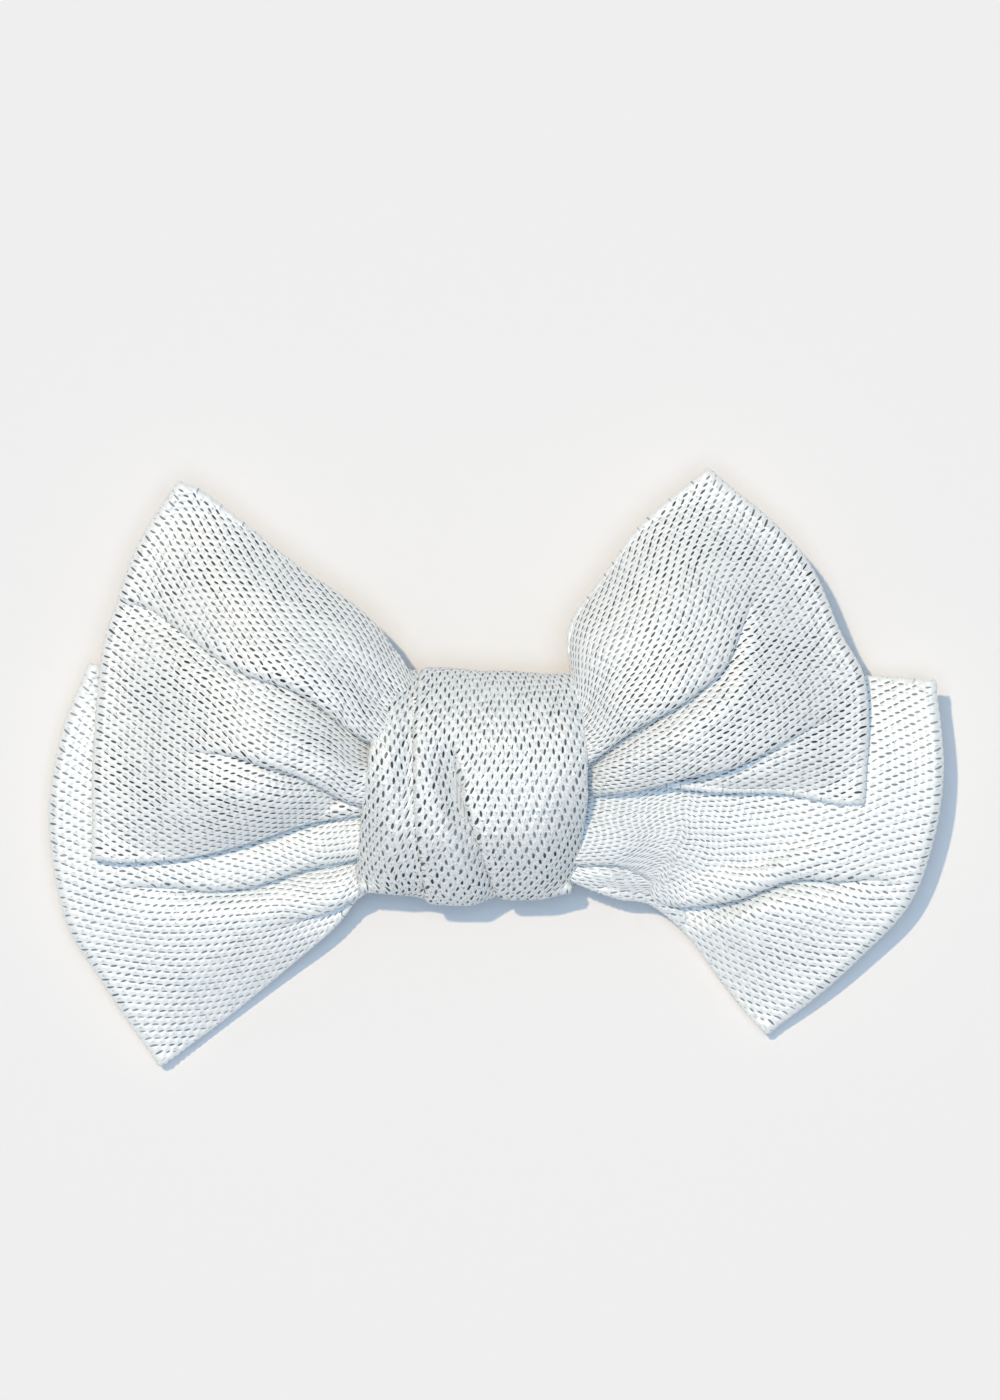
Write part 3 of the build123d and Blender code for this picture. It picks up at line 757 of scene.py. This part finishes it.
class Nodes:
    """A material's node tree, with short calls for the nodes used here."""

    def __init__(self, name):
        self.material = bpy.data.materials.new(name)
        self.material.use_nodes = True
        self.tree = self.material.node_tree
        self.shader = self.tree.nodes["Principled BSDF"]

    def node(self, kind, **settings):
        made = self.tree.nodes.new(kind)
        for key, value in settings.items():
            setattr(made, key, value)
        return made

    def link(self, source, target):
        self.tree.links.new(source, target)

    def feed(self, socket, value):
        if isinstance(value, bpy.types.NodeSocket):
            self.link(value, socket)
        else:
            socket.default_value = value

    def set(self, **values):
        """Feed the shader's inputs, named with _ for a space."""
        for name, value in values.items():
            self.feed(self.shader.inputs[name.replace("_", " ")], value)

    def math(self, operation, *values):
        made = self.node("ShaderNodeMath", operation=operation)
        for socket, value in zip(made.inputs, values):
            self.feed(socket, value)
        return made.outputs[0]

    def add(self, a, b):
        return self.math("ADD", a, b)

    def less(self, a, b):
        return self.math("SUBTRACT", a, b)

    def times(self, a, b):
        return self.math("MULTIPLY", a, b)

    def size(self, a):
        return self.math("ABSOLUTE", a)

    def oval(self, a, b, half_a, half_b):
        """1 on an oval's edge, 0 at its middle."""
        a = self.times(self.size(a), 1 / half_a)
        b = self.times(self.size(b), 1 / half_b)
        return self.math("SQRT", self.add(self.times(a, a), self.times(b, b)))

    def mix(self, share, a, b):
        made = self.node("ShaderNodeMix", data_type="RGBA")
        self.feed(made.inputs["Factor"], share)
        self.feed(made.inputs[6], a)
        self.feed(made.inputs[7], b)
        return made.outputs[2]

    def ramp(self, value, low, high, to_low=0.0, to_high=1.0):
        made = self.node("ShaderNodeMapRange", interpolation_type="SMOOTHSTEP")
        self.feed(made.inputs["Value"], value)
        ends = {"From Min": low, "From Max": high, "To Min": to_low, "To Max": to_high}
        for name, number in ends.items():
            made.inputs[name].default_value = number
        return made.outputs[0]

    def split(self, vector, kind="ShaderNodeSeparateXYZ"):
        made = self.node(kind)
        self.link(vector, made.inputs[0])
        return made.outputs[0], made.outputs[1]

    def join(self, x, y):
        made = self.node("ShaderNodeCombineXYZ")
        self.link(x, made.inputs[0])
        self.link(y, made.inputs[1])
        return made.outputs[0]

    def noise(self, vector, scale, detail=2.0, rough=0.5):
        made = self.node("ShaderNodeTexNoise")
        self.feed(made.inputs["Vector"], vector)
        made.inputs["Scale"].default_value = scale
        made.inputs["Detail"].default_value = detail
        made.inputs["Roughness"].default_value = rough
        return made.outputs["Fac"]

    def bump(self, height, distance_M, strength):
        made = self.node("ShaderNodeBump")
        made.inputs["Distance"].default_value = distance_M
        made.inputs["Strength"].default_value = strength
        self.feed(made.inputs["Height"], height)
        return made.outputs[0]


# A slit's half length and half width are shares of a stitch, and its slant is drawn between
# two slopes. Each slit is painted shade, the shadow in the gap between stitches. The rim,
# speck and tick strengths, 0 to 1, say how strongly each darkens the yarn: the rims and ticks
# with painted shade, the specks with random grey and painted shade.
YARN_DULL, YARN_BRIGHT = (0.935, 0.972, 0.975, 1), (0.965, 0.99, 0.99, 1)
# painted shade: round the slits, and in the ticks between them
RIM_SHADE_GREY, TICK_SHADE_GREY = (0.42, 0.48, 0.51, 1), (0.16, 0.20, 0.22, 1)
# random grey specks, deepened by painted shade in low places
SPECK_AND_SHADE_GREY = (0.40, 0.47, 0.50, 1)
# painted shade inside the slits: near black, and a lighter slate for the back wings
SLIT_SHADE_BLACK, SLIT_SHADE_SLATE = (0.008, 0.01, 0.012, 1), (0.15, 0.20, 0.235, 1)
WING_KNIT = dict(
    width=RIBBON, step=STITCH_STEP, pitch=STITCH_PITCH, bias=0.0, slants=(0.06, 0.46),
)
# the back knit carries lighter painted shade than the front, and the knot a stronger one
KNITS = {
    "front_knit": dict(
        WING_KNIT, slit_length=0.42, slit_width=0.122, slit_shade_color=SLIT_SHADE_BLACK,
        rim_shade=0.15, shade=0.3, tick_shade=0.7,
    ),
    "back_knit": dict(
        WING_KNIT, slit_length=0.40, slit_width=0.108, slit_shade_color=SLIT_SHADE_SLATE,
        rim_shade=0.14, shade=0.24, tick_shade=0.5,
    ),
    "knot_knit": dict(
        width=KNOT_WIDTH, step=KNOT_STEP, pitch=KNOT_PITCH, bias=KNOT_BIAS,
        slants=(0.0, 0.32), slit_length=0.40, slit_width=0.115, slit_shade_color=SLIT_SHADE_BLACK,
        rim_shade=0.4, shade=0.85, tick_shade=0.85,
    ),
}


def stitch_cells(m, along, across, step, pitch, bias):
    """Each point's place in its stitch, and three random numbers for that stitch.

    The columns of stitches are staggered by half a stitch, as in stitch_height."""
    c, s = math.cos(bias), math.sin(bias)
    a = m.times(m.less(m.times(along, c), m.times(across, s)), 1 / step)
    b = m.times(m.add(m.times(along, s), m.times(across, c)), 1 / pitch)
    column = m.math("ROUND", a)
    b = m.less(b, m.times(column, 0.5))
    row = m.math("ROUND", b)
    dice = m.node("ShaderNodeTexWhiteNoise", noise_dimensions="2D")
    m.link(m.join(column, row), dice.inputs["Vector"])
    turn, reach = m.split(dice.outputs["Color"], "ShaderNodeSeparateColor")
    return m.less(a, column), m.less(b, row), dice.outputs["Value"], turn, reach


def knit_material(name, width, step, pitch, bias, slants, slit_length, slit_width, slit_shade_color,
                  rim_shade, shade, tick_shade):
    """Metallic knit: staggered stitches, each a bright crown beside a slit painted dark with
    shade.
    """
    m = Nodes(name)
    cloth = m.node("ShaderNodeUVMap", uv_map="cloth").outputs[0]
    along, across = m.split(cloth)
    da, db, luck, turn, reach = stitch_cells(m, along, across, step, pitch, bias)
    # the slit leans across its stitch, and its length varies
    lean = m.add(db, m.times(da, m.ramp(turn, 0.0, 1.0, *slants)))
    far = m.add(m.oval(lean, da, slit_width, slit_length), m.times(m.less(reach, 0.5), 0.4))
    slit = m.ramp(far, 0.8, 1.06, 1.0, 0.0)
    # none along the ribbon's edges and its fold, and the slits' painted shade fainter in
    # patches
    side = m.math("MINIMUM", across, m.less(width, across))
    flat = m.times(m.ramp(side, 0.0, 0.4), m.ramp(m.size(along), 0.1, 0.7))
    patchy = m.ramp(m.noise(cloth, 0.07, 3.0, 0.6), 0.36, 0.6, 0.7, 1.0)
    slit = m.times(m.times(slit, flat), patchy)
    # painted shade: a finer dark tick in the crevice between one slit and the next, in some of
    # the stitches
    between = m.less(m.less(m.size(db), 0.5), m.times(da, 0.45))
    fine = m.ramp(m.oval(between, da, 0.075, 0.3), 0.7, 1.15, 1.0, 0.0)
    fine = m.times(fine, m.ramp(luck, 0.35, 0.75))
    # crown height: a pillow between the slits, with fine filaments along it
    pillow = m.times(m.math("COSINE", m.times(db, 2 * math.pi)),
                     m.math("COSINE", m.times(da, math.pi)))
    filament = m.noise(m.join(m.times(along, 1.2), m.times(across, 7.0)), 1.0, 3.0, 0.7)
    height = m.less(m.times(filament, 0.35), m.times(pillow, 0.38))
    height = m.less(height, m.times(slit, 0.9))
    # colour: cool silver-white yarn, a little uneven, then painted shade between the stitches
    drift = m.ramp(m.noise(cloth, 0.12, 2.0), 0.3, 0.7)
    yarn = m.mix(drift, YARN_DULL, YARN_BRIGHT)
    # painted shade: a soft grey rim round every slit, mostly on its lower side, away from the
    # light
    rim = m.times(m.ramp(far, 0.9, 1.8, 1.0, 0.0), m.ramp(lean, -0.12, 0.2, 0.2, 1.0))
    yarn = m.mix(m.times(rim, rim_shade), yarn, RIM_SHADE_GREY)
    yarn = m.mix(m.times(fine, tick_shade), yarn, TICK_SHADE_GREY)
    # grey specks at random where the grain lies low, with painted shade where the filaments
    # lie low
    specks_and_shade = m.times(m.ramp(m.noise(cloth, 3.2, 2.0, 0.7), 0.42, 0.62, 1.0, 0.0),
                     m.ramp(filament, 0.3, 0.6, 1.0, 0.35))
    yarn = m.mix(m.times(specks_and_shade, shade), yarn, SPECK_AND_SHADE_GREY)
    m.set(
        Base_Color=m.mix(slit, yarn, slit_shade_color),
        Normal=m.bump(height, 0.00018, 0.7),
        Roughness=m.ramp(luck, 0.7, 1.0, 0.52, 0.18),  # a few of the stitches glint
        Metallic=m.ramp(slit, 0.0, 0.6, 0.1, 0.0),
        Sheen_Weight=0.15, Sheen_Roughness=0.4, Specular_IOR_Level=0.6,
    )
    return m.material


def spun_material(name, color, scale):
    """Soft fibre, for thread and felt: fine tangled bump and uneven colour."""
    m = Nodes(name)
    where = m.node("ShaderNodeTexCoord").outputs["Object"]
    fibre = m.noise(where, scale, 6.0, 0.75)
    cloud = m.noise(where, scale / 14, 2.0)
    tone = m.ramp(m.add(m.times(fibre, 0.6), m.times(cloud, 0.4)), 0.3, 0.7)
    dark = tuple(x * 0.78 for x in color)
    m.set(
        Base_Color=m.mix(tone, (*dark, 1), (*color, 1)),
        Normal=m.bump(fibre, 0.00025, 0.7),
        Roughness=0.9, Sheen_Weight=0.35,
    )
    return m.material


def steel_material(name, color, rough, grain):
    """Plated steel: faint drawn grain, small pits and worn, smudged patches."""
    m = Nodes(name)
    where = m.node("ShaderNodeTexCoord").outputs["Object"]
    stretch = m.node("ShaderNodeMapping")
    stretch.inputs["Scale"].default_value = (1.0, grain, grain)
    m.link(where, stretch.inputs["Vector"])
    line = m.noise(stretch.outputs[0], 900.0, 3.0, 0.6)
    smudge = m.noise(where, 220.0, 3.0, 0.6)
    pit = m.ramp(m.noise(where, 2600.0, 1.0), 0.62, 0.75)
    dark = tuple(x * 0.86 for x in color)
    m.set(
        Base_Color=m.mix(m.ramp(smudge, 0.35, 0.7), (*dark, 1), (*color, 1)),
        Normal=m.bump(m.add(m.times(line, 0.7), m.times(pit, -0.3)), 0.00003, 0.5),
        Roughness=m.ramp(smudge, 0.3, 0.7, rough + 0.12, rough),
        Metallic=1.0,
    )
    return m.material


def glue_material():
    """Hot glue: cloudy, amber-white, and a little see-through."""
    m = Nodes("hot_glue")
    where = m.node("ShaderNodeTexCoord").outputs["Object"]
    cloud = m.ramp(m.noise(where, 500.0, 3.0), 0.3, 0.7)
    m.set(
        Base_Color=m.mix(cloud, (0.78, 0.75, 0.66, 1), (0.88, 0.86, 0.79, 1)),
        Normal=m.bump(m.noise(where, 900.0, 2.0), 0.0001, 0.5),
        Roughness=0.35, Subsurface_Weight=0.15, Subsurface_Scale=0.002,
    )
    return m.material


def dress(piece, material):
    """Give a piece one material, in place of any that it has."""
    piece.data.materials.clear()
    piece.data.materials.append(material)


# ----------------------------------------------------------- floor, light and camera

FLOOR_REACH_M = 2.5
FLOOR_WHITE = 0.85
SUN_HEIGHT = math.radians(73)  # the key light's, above the floor
CAMERA_HEIGHT_M = 2.4
CAMERA_ASIDE_M = (0.0007, 0.0114)  # from above the middle of the CAD
FRAME_SHARE = 1.1205  # the picture's width over the bow's
SENSOR_WIDTH = 36.0


def add_sun(name, energy, color, angle):
    """A sun light, whose disc spans an angle in degrees. It shines straight down."""
    sun = bpy.data.lights.new(name, "SUN")
    sun.energy = energy
    sun.color = color
    sun.angle = math.radians(angle)
    return add_object(name, sun)


def make_studio():
    """A pale floor, a warm key from the upper left, and cool light from all round."""
    r = FLOOR_REACH_M
    mesh = bpy.data.meshes.new("floor")
    mesh.from_pydata([(-r, -r, 0), (r, -r, 0), (r, r, 0), (-r, r, 0)], [], [(0, 1, 2, 3)])
    floor = add_object("floor", mesh)
    m = Nodes("paper_floor")
    m.set(Base_Color=(FLOOR_WHITE, FLOOR_WHITE, FLOOR_WHITE, 1), Roughness=1.0,
          Specular_IOR_Level=0.0)
    mesh.materials.append(m.material)

    key = add_sun("key", 1.80, (1.0, 0.773, 0.50), 1.6)
    down = Vector((1, -1, -math.sqrt(2) * math.tan(SUN_HEIGHT)))
    key.rotation_euler = down.to_track_quat("-Z", "Y").to_euler()
    add_sun("fill", 1.24, (0.596, 0.778, 1.0), 28)

    world = bpy.data.worlds.new("sky")
    bpy.context.scene.world = world
    world.use_nodes = True
    sky = world.node_tree.nodes["Background"]
    sky.inputs["Color"].default_value = (0.233, 0.286, 0.35, 1)
    sky.inputs["Strength"].default_value = 1.0


def make_camera():
    """A long lens straight above the bow, framed to the bow's width."""
    low, high = np.array(CAD_BOX[0]), np.array(CAD_BOX[1])
    aim = (low + high) / 2
    camera = bpy.data.cameras.new("camera")
    camera.sensor_fit = "HORIZONTAL"
    camera.sensor_width = SENSOR_WIDTH
    camera.lens = SENSOR_WIDTH * CAMERA_HEIGHT_M / ((high[0] - low[0]) * FRAME_SHARE)
    camera.clip_start, camera.clip_end = 0.05, 20.0
    eye = add_object("camera", camera)
    aside_x, aside_y = CAMERA_ASIDE_M
    eye.location = (aim[0] + aside_x, aim[1] + aside_y, aim[2] + CAMERA_HEIGHT_M)
    bpy.context.scene.camera = eye
    bpy.context.scene.view_settings.view_transform = "Standard"


# -------------------------------------------------------------------- putting together

make_studio()
make_camera()

knits = {name: knit_material(name, **look) for name, look in KNITS.items()}
thread_fibre = spun_material("sewing_thread", (0.80, 0.83, 0.85), 4000.0)
felt_fibre = spun_material("felt", (0.80, 0.82, 0.84), 1500.0)
plated = steel_material("plated_steel", (0.74, 0.75, 0.76), 0.2, 12.0)
wire = steel_material("spring_wire", (0.60, 0.61, 0.62), 0.28, 4.0)

for name, wing in WINGS.items():
    layer = name.split("_")[0]
    dress(make_wing(name, wing), knits[layer + "_knit"])

tied_at = [node_box(node)[0][0] + WINDING_HALF
           for node in ("back_gather_thread", "joining_thread")]
for layer, seed in (("back", 10), ("front", 11)):
    low, high = node_box(layer + "_gather_thread")
    y, z = (low[1] - 0.2, high[1] + 0.2), (low[2] - 0.2, high[2])
    waist = make_waist(layer + "_waist", layer + "_bow_band", y, z, tied_at, seed)
    dress(waist, knits[layer + "_knit"])
dress(make_knot(), knits["knot_knit"])

for node, name in (
    ("back_gather_thread", "back_waist_winding"),
    ("front_gather_thread", "front_waist_winding"),
    ("joining_thread", "joining_winding"),
):
    dress(winding(node, name), thread_fibre)
dress(lap_row("back_lap_stitches", "back_lap_row"), thread_fibre)
dress(lap_row("front_lap_stitches", "front_lap_row"), thread_fibre)
dress(closing_stitches(), thread_fibre)

felt = pad_piece("felt_pad", "felt_backing_pad", 5.0, 0.05, 2.0)
dress(felt, felt_fibre)
glue = pad_piece("glue_squeeze", "glue_bead", 3.2, 0.03, 4.0)
dress(glue, glue_material())

for node in ("clip_upper_arm", "clip_lower_jaw", "clip_pivot_pin"):
    dress(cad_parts[node], plated)
dress(spring_wire(), wire)
